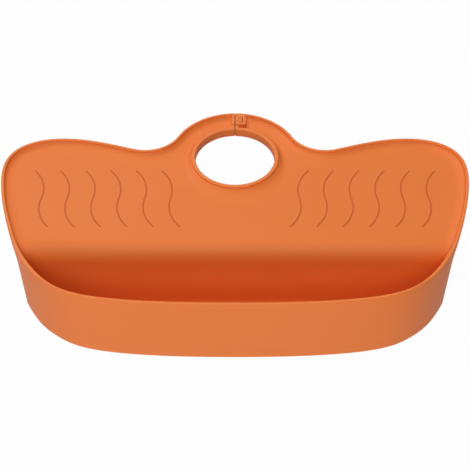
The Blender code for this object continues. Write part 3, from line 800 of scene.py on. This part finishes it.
def tab_plan(sizes, grow, end_grow):
    """Plan of the T-shaped tab, grown by a clearance all round and by another at its far end."""
    stem = sizes.stem / 2 + grow
    head = sizes.head / 2 + grow
    neck = sizes.reach - sizes.head_thickness - grow
    end = sizes.reach + end_grow
    middle = sizes.tab_middle
    return [(neck, middle - stem), (neck, middle - head), (end, middle - head), (end, middle + head),
            (neck, middle + head), (neck, middle + stem)]


def clasp_shapes(sizes, deck, top):
    """The hook and the keeper as closed bmeshes."""
    low, high = deck - sizes.sink * CLASP_FOOT, top - sizes.sink
    gap, outer, front = sizes.gap, sizes.gap + sizes.plate, sizes.keeper_front
    end, corner = sizes.gap + sizes.keeper, sizes.edge * KEEPER_CORNER
    stem = sizes.stem / 2
    middle = sizes.tab_middle

    def finish_clasp(shape, near_x, far_x):
        """Add the part of an end plate that is in front of the groove, and round all edges."""
        groove = front - sizes.groove
        block(shape, [(near_x, sizes.front), (far_x, sizes.front), (far_x, groove), (near_x, groove)], low, high)
        round_edges(shape, sizes.edge)

    hook = bmesh.new()
    plan = [(-outer, front), (-gap, front), (-gap, middle - stem)] + tab_plan(sizes, 0, 0)
    plan += [(-gap, middle + stem), (-gap, sizes.back), (-outer, sizes.back)]
    block(hook, plan, low, high)
    finish_clasp(hook, -outer, -gap)

    keeper = bmesh.new()
    slot = tab_plan(sizes, sizes.clearance, sizes.end_clearance)
    stem += sizes.clearance
    plan = [(gap, front), (end - corner, front)]
    plan += quarter((end - corner, front), (end, front), (end, front + corner), CORNER_PIECES)[1:]
    plan += [(end, sizes.back), (gap, sizes.back), (gap, middle + stem)]
    plan += slot[::-1] + [(gap, middle - stem)]
    block(keeper, plan, low, high)
    finish_clasp(keeper, gap, outer)
    return hook, keeper


def arithmetic(operation, swapped=False):
    """A method of Wire that adds a Math node on itself and another number or socket, or on these two swapped."""
    def method(self, other):
        return self.math(operation, *((other, self) if swapped else (self, other)))
    return method


class Wire:
    """A socket of a node tree. Arithmetic on it adds Math nodes, and node() adds any other node."""

    def __init__(self, tree, socket=None):
        self.tree = tree
        self.socket = socket

    def node(self, kind, values=None, output=0, **settings):
        """Add a node of a type, with the values or links of its sockets, which its settings may change first."""
        made = self.tree.nodes.new(kind)
        for key, value in settings.items():
            setattr(made, key, value)
        for key, value in (values or {}).items():
            if isinstance(value, Wire):
                self.tree.links.new(value.socket, made.inputs[key])
            else:
                made.inputs[key].default_value = value
        return Wire(self.tree, made.outputs[output] if len(made.outputs) else None)

    def output(self, key):
        """Another output of the same node."""
        return Wire(self.tree, self.socket.node.outputs[key])

    def math(self, operation, first, second=0.0):
        """Add a Math node on two numbers or sockets."""
        return self.node("ShaderNodeMath", {0: first, 1: second}, operation=operation)

    def point(self, x=0.0, y=0.0, z=0.0):
        """Add a Combine XYZ node."""
        return self.node("ShaderNodeCombineXYZ", {0: x, 1: y, 2: z})

    def mix(self, share, first, second):
        """Add a Mix node on two colours, the second of which takes a share."""
        return self.node("ShaderNodeMix", {0: share, 6: first, 7: second}, output=2, data_type="RGBA")

    def fade(self, value, start, end, first, last):
        """Add a Map Range node that leads gently from the first value to the last."""
        ends = {"From Min": start, "From Max": end, "To Min": first, "To Max": last}
        return self.node("ShaderNodeMapRange", {"Value": value, **ends}, interpolation_type="SMOOTHSTEP")

    __add__, __radd__ = arithmetic("ADD"), arithmetic("ADD", True)
    __sub__, __rsub__ = arithmetic("SUBTRACT"), arithmetic("SUBTRACT", True)
    __mul__, __rmul__ = arithmetic("MULTIPLY"), arithmetic("MULTIPLY", True)
    __truediv__, __gt__ = arithmetic("DIVIDE"), arithmetic("GREATER_THAN")


def empty_tree(holder):
    """The node tree of a material or a world, with nothing in it."""
    holder.use_nodes = True
    holder.node_tree.nodes.clear()
    return Wire(holder.node_tree)


def silicone(name, scene, shift=0.0, painted_shade=None):
    """Matt silicone: fine mould grain, slow ripples, faint patches and a painted highlight along the lips' tops.

    shift moves the texture, so that pieces differ. painted_shade gives an axis, two distances along it on either side
    and what is left of the painted shade past the second; the shade is painted in full nearer than the first.
    """
    finish, top = scene.mat_finish, scene.mat_skin_sizes.lip_top
    material = bpy.data.materials.new(name)
    tree = empty_tree(material)
    place = tree.node("ShaderNodeTexCoord", output="Object")
    parts = tree.node("ShaderNodeSeparateXYZ", {0: place})
    moved = tuple(shift * share for share in SHIFT_SHARES)
    place = tree.node("ShaderNodeMapping", {"Vector": place, "Location": moved})

    def noise(scale, detail, roughness=0.5):
        """Noise at the moved place."""
        return tree.node(
            "ShaderNodeTexNoise", {"Vector": place, "Scale": scale, "Detail": detail, "Roughness": roughness})

    patches = noise(PATCH_SCALE, detail=3.0, roughness=0.55)
    grain, ripple = noise(1 / finish.grain, detail=2.0), noise(1 / finish.ripple, detail=1.0)
    # Painted highlight: the lips' tops are lightened, in patches, in place of the light along their edges.
    lip = tree.fade(parts.output(2), top - LIP_HIGHLIGHT_DEPTH, top, 0.0, 1.0)
    lip_highlight = lip * (1 - PATCH_HIGHLIGHT + PATCH_HIGHLIGHT * patches)
    body = tree.mix(patches, (*finish.body, 1.0), (*finish.warm, 1.0))
    body = tree.mix(lip_highlight, body, (*finish.lip_highlight, 1.0))
    # Painted shade: darker near the given axis's zero, where the split's groove and the ribs' feet lie in shade.
    if painted_shade:
        axis, near, far, left = painted_shade
        share = tree.fade(tree.math("ABSOLUTE", parts.output(axis)), near, far, 1.0, left)
        body = tree.mix(share, body, (*finish.painted_shade, 1.0))
    relief = grain * GRAIN_RELIEF + ripple * (1 - GRAIN_RELIEF)
    bump = tree.node("ShaderNodeBump", {"Strength": 0.22, "Distance": 0.00012, "Height": relief})
    shader = tree.node("ShaderNodeBsdfPrincipled", {
        "Base Color": body,
        "Roughness": finish.roughness - ROUGHNESS_DROP + GRAIN_ROUGHNESS * grain + PATCH_ROUGHNESS * patches,
        "Normal": bump,
        "IOR": 1.43,
        "Specular IOR Level": finish.gloss,
    })
    tree.node("ShaderNodeOutputMaterial", {"Surface": shader})
    material.diffuse_color = (*finish.body, 1.0)
    return material


def rib_tree(inputs):
    """Geometry Nodes tree with the given inputs that lays a row of S-shaped ribs with rounded tops and ends."""
    tree = bpy.data.node_groups.new("drain_ribs", "GeometryNodeTree")
    kinds = {int: "NodeSocketInt", float: "NodeSocketFloat", bpy.types.Material: "NodeSocketMaterial"}
    for name, value in inputs.items():
        tree.interface.new_socket(name, in_out="INPUT", socket_type=kinds[type(value)]).default_value = value
    tree.interface.new_socket("Geometry", in_out="OUTPUT", socket_type="NodeSocketGeometry")
    add = Wire(tree)
    given = tree.nodes.new("NodeGroupInput")
    size = {socket.name: Wire(tree, socket) for socket in given.outputs if socket.name}

    line = add.node("GeometryNodeCurvePrimitiveLine", {"Start": (0, 0, 0), "End": (0, 0, 1)})
    path = add.node("GeometryNodeResampleCurve", {"Curve": line, "Count": size["Points"]})
    share = add.node("GeometryNodeSplineParameter", output="Factor")
    late = share > 0.5
    sign = 1 - 2 * late
    half = add.math("ARCSINE", size["Arc Chord"] / (2 * size["Arc Radius"]))
    angle = half * (1 - 2 * (2 * share - late))
    along = sign * size["Arc Chord"] * 0.5 + size["Arc Radius"] * add.math("SINE", angle)
    bow = sign * size["Arc Radius"] * (add.math("COSINE", angle) - add.math("COSINE", half))
    lean, rise = add.math("SINE", size["Tilt"]), add.math("COSINE", size["Tilt"])
    x = size["Side"] * (along * lean - bow * rise)
    y = size["Middle Y"] + along * rise + bow * lean
    spot = add.point(x, y, size["Base Z"])
    path = add.node("GeometryNodeSetPosition", {"Geometry": path, "Position": spot})
    path = add.node("GeometryNodeSetCurveNormal", {"Curve": path}, mode="Z_UP")
    reach = add.math("MINIMUM", share, 1 - share) * 4 * half * size["Arc Radius"]
    near = 1 - add.math("MINIMUM", reach / (size["Width"] * RIB_END), 1.0)
    dome = add.math("SQRT", add.math("MAXIMUM", 1 - near * near, RIB_TIP))
    arc = {"Resolution": RIB_PROFILE_POINTS, "Radius": 1.0, "Start Angle": 0.0, "Sweep Angle": math.pi}
    arc = add.node("GeometryNodeCurveArc", arc, mode="RADIUS")
    arc = add.node("GeometryNodeSetSplineCyclic", {0: arc, "Cyclic": True})
    here = add.node("ShaderNodeSeparateXYZ", {0: add.node("GeometryNodeInputPosition")})
    tall = here.output(1) * (size["Height"] + size["Sunk"]) - size["Sunk"]
    spot = add.point(here * size["Width"] * 0.5, tall)
    arc = add.node("GeometryNodeSetPosition", {"Geometry": arc, "Position": spot})
    body = add.node("GeometryNodeCurveToMesh", {
        "Curve": path, "Profile Curve": arc, "Scale": dome, "Fill Caps": True})
    body = add.node("GeometryNodeSetShadeSmooth", {0: body, "Shade Smooth": True})
    start, step = add.point(size["Side"] * size["First X"]), add.point(size["Side"] * size["Pitch"])
    spots = add.node("GeometryNodeMeshLine", {
        "Count": size["Count"], "Start Location": start, "Offset": step})
    copies = add.node("GeometryNodeInstanceOnPoints", {"Points": spots, "Instance": body})
    real = add.node("GeometryNodeRealizeInstances", {0: copies})
    real = add.node("GeometryNodeSetMaterial", {"Geometry": real, "Material": size["Finish"]})
    add.node("NodeGroupOutput", {"Geometry": real})
    return tree


def grown_mesh(tree, side):
    """The plain mesh that the ribs' tree makes on one side, -1 or 1."""
    base = placed("rib_base", bpy.data.meshes.new("rib_base"))
    grow = base.modifiers.new("ribs", "NODES")
    grow.node_group = tree
    grow[tree.interface.items_tree["Side"].identifier] = side
    base.update_tag()
    bpy.context.view_layer.update()
    ready = base.evaluated_get(bpy.context.evaluated_depsgraph_get())
    mesh = bpy.data.meshes.new_from_object(ready)
    base.modifiers.clear()
    bpy.data.objects.remove(base, do_unlink=True)
    return mesh


def lamp(name, light, size, away, turn, rise):
    """Add a square soft lamp that far away, turned and raised by angles in degrees, looking at the mat's middle."""
    turn, rise = math.radians(turn), math.radians(rise)
    level = away * math.cos(rise)
    place = Vector(LIT_MIDDLE) + Vector((-level * math.sin(turn), level * math.cos(turn), away * math.sin(rise)))
    data = bpy.data.lights.new(name, "AREA")
    data.energy = light * (math.pi * away) ** 2
    data.shape = "SQUARE"
    data.size = size
    made = placed(name, data)
    made.location = place
    made.rotation_euler = (Vector(LIT_MIDDLE) - place).to_track_quat("-Z", "Y").to_euler()


def seen_directly(tree):
    """1 for rays that show the background itself: from the camera, in a gloss or through a clear part."""
    seen = tree.node("ShaderNodeLightPath", output="Is Camera Ray")
    through = tree.math("MAXIMUM", seen.output("Is Glossy Ray"), seen.output("Is Transmission Ray"))
    return tree.math("MAXIMUM", seen, through)


class SPLASHMAT_OT_skin(bpy.types.Operator):
    """Build the deck, rims, collar, bend and pocket as one continuous skin"""

    bl_idname = "splashmat.skin"
    bl_label = "Mat Skin"

    def execute(self, context):
        sizes = context.scene.mat_skin_sizes
        finish = silicone("mat_silicone", context.scene)
        skin = finish_piece("mat_skin", mat_skin(sizes), finish)
        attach(skin, "mat")
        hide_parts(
            "deck_panel", "left_rim", "right_rim", "collar_front", "sink_edge_bend", "pocket_back_wall",
            "pocket_front_wall", "pocket_left_end", "pocket_right_end", "pocket_floor")
        return {"FINISHED"}


class SPLASHMAT_OT_arms(bpy.types.Operator):
    """Build the two ring arms, each with the part of the deck and rim at its root"""

    bl_idname = "splashmat.arms"
    bl_label = "Ring Arms"

    def execute(self, context):
        sizes, clasp = context.scene.mat_skin_sizes, context.scene.mat_clasp_sizes
        # Painted shade along the split: the arms' ends are darker within the groove and its rounded edge, end faces
        # too.
        split = (0, clasp.gap, clasp.gap + clasp.edge, 0.0)
        finish = silicone("arm_silicone", context.scene, painted_shade=split)
        for side, name in ((-1, "left"), (1, "right")):
            arm = finish_piece(name + "_arm_skin", arm_skin(sizes, clasp, side), finish)
            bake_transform(arm)
            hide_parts(name + "_ring_arm")
        return {"FINISHED"}


class SPLASHMAT_OT_clasp(bpy.types.Operator):
    """Build the hook and the keeper that close the ring"""

    bl_idname = "splashmat.clasp"
    bl_label = "Clasp"

    def execute(self, context):
        skin = context.scene.mat_skin_sizes
        clasp = context.scene.mat_clasp_sizes
        # Painted shade along the split: the clasp's faces at the split are darker within the groove and its rounded
        # edge.
        split = (0, clasp.gap, clasp.gap + clasp.edge, 0.0)
        finish = silicone("clasp_silicone", context.scene, CLASP_SHIFT, split)
        shapes = clasp_shapes(clasp, skin.deck, skin.lip_top)
        for shape, node, body in zip(shapes, ("clasp_hook", "clasp_keeper"), ("left_arm", "right_arm")):
            piece = finish_piece(node + "_piece", shape, finish, smooth_angle=30)
            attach(piece, body)
            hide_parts(node)
        return {"FINISHED"}


class SPLASHMAT_OT_ribs(bpy.types.Operator):
    """Grow both sets of S-shaped drain ribs on the deck"""

    bl_idname = "splashmat.ribs"
    bl_label = "Drain Ribs"

    def execute(self, context):
        sizes, skin = context.scene.mat_rib_sizes, context.scene.mat_skin_sizes
        # Painted shade on the ribs: darkest at their feet, fading up to the tops, where 0.4 of it is left.
        flank_shade = (2, skin.deck, skin.deck + sizes.height, RIB_TOP_SHADE)
        finish = silicone("rib_silicone", context.scene, RIB_SHIFT, flank_shade)
        tree = rib_tree({
            "Count": sizes.count, "First X": sizes.first, "Pitch": sizes.pitch, "Middle Y": -sizes.middle,
            "Base Z": skin.deck, "Width": sizes.width, "Height": sizes.height, "Sunk": RIB_SUNK,
            "Arc Radius": sizes.arc_radius, "Arc Chord": sizes.arc_chord, "Tilt": sizes.tilt, "Side": 1.0,
            "Points": RIB_POINTS, "Finish": finish})
        both = bmesh.new()
        for side in (-1.0, 1.0):
            mesh = grown_mesh(tree, side)
            both.from_mesh(mesh)
            bpy.data.meshes.remove(mesh)
        bmesh.ops.remove_doubles(both, verts=both.verts, dist=MERGE_DISTANCE)
        ribs = finish_piece("drain_ribs", both, finish, smooth_angle=60)
        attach(ribs, "mat")
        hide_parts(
            *["%s_rib_%d" % (side, index + 1) for side in ("left", "right") for index in range(sizes.count)])
        return {"FINISHED"}


class SPLASHMAT_OT_studio(bpy.types.Operator):
    """Set up the floor, the lamps, the background and the camera"""

    bl_idname = "splashmat.studio"
    bl_label = "Studio"

    def execute(self, context):
        scene, studio = context.scene, context.scene.mat_studio
        scene.view_settings.view_transform = "Standard"

        shape = bmesh.new()
        bmesh.ops.create_grid(shape, x_segments=1, y_segments=1, size=FLOOR_REACH)
        mesh = bpy.data.meshes.new("studio_floor")
        shape.to_mesh(mesh)
        shape.free()
        mesh.transform(Matrix.Translation((0, 0, -studio.floor_drop)))
        floor = placed("studio_floor", mesh)
        paper = bpy.data.materials.new("floor_paper")
        tree = empty_tree(paper)
        diffuse = tree.node("ShaderNodeBsdfDiffuse", {"Color": (*studio.floor_colour, 1.0)})
        white = tree.node("ShaderNodeEmission", {"Color": WHITE, "Strength": 1.0})
        both = tree.node("ShaderNodeMixShader", {0: seen_directly(tree) * FLOOR_WHITE, 1: diffuse, 2: white})
        tree.node("ShaderNodeOutputMaterial", {"Surface": both})
        mesh.materials.append(paper)

        world = bpy.data.worlds.new("studio_world")
        scene.world = world
        tree = empty_tree(world)
        sky = tree.node("ShaderNodeBackground", {"Color": WHITE, "Strength": seen_directly(tree)})
        tree.node("ShaderNodeOutputWorld", {"Surface": sky})

        for name, place in LAMPS.items():
            lamp(name + "_lamp", getattr(studio, name), *place)

        data = bpy.data.cameras.new("camera")
        data.sensor_width = SENSOR_WIDTH
        data.lens = studio.lens
        data.clip_start = 0.01
        camera = placed("camera", data)
        camera.location = CAMERA_PLACE
        camera.rotation_euler = (CAMERA_TILT, 0.0, 0.0)
        scene.camera = camera
        return {"FINISHED"}


class SPLASHMAT_PT_panel(bpy.types.Panel):
    """Lists the steps that build the mat, with their sizes and colours"""

    bl_idname = "SPLASHMAT_PT_panel"
    bl_label = "Splash Guard Mat"
    bl_space_type = "VIEW_3D"
    bl_region_type = "UI"
    bl_category = "Splash Mat"

    def draw(self, context):
        for operator, group, settings in STEPS:
            box = self.layout.box()
            box.operator(operator.bl_idname)
            for name in settings.__annotations__:
                box.prop(getattr(context.scene, group), name)


STEPS = (
    (SPLASHMAT_OT_skin, "mat_skin_sizes", SkinSizes),
    (SPLASHMAT_OT_arms, "mat_finish", FinishSettings),
    (SPLASHMAT_OT_clasp, "mat_clasp_sizes", ClaspSizes),
    (SPLASHMAT_OT_ribs, "mat_rib_sizes", RibSizes),
    (SPLASHMAT_OT_studio, "mat_studio", StudioSettings),
)


def register():
    """Register the settings, the operators and the panel."""
    for operator, group, settings in STEPS:
        bpy.utils.register_class(settings)
        setattr(bpy.types.Scene, group, bpy.props.PointerProperty(type=settings))
        bpy.utils.register_class(operator)
    bpy.utils.register_class(SPLASHMAT_PT_panel)


def unregister():
    """Remove what register added."""
    bpy.utils.unregister_class(SPLASHMAT_PT_panel)
    for operator, group, settings in STEPS:
        bpy.utils.unregister_class(operator)
        delattr(bpy.types.Scene, group)
        bpy.utils.unregister_class(settings)


def main():
    """Build every piece and the studio."""
    register()
    bpy.ops.splashmat.skin()
    bpy.ops.splashmat.arms()
    bpy.ops.splashmat.clasp()
    bpy.ops.splashmat.ribs()
    bpy.ops.splashmat.studio()


if __name__ == "__main__":
    main()
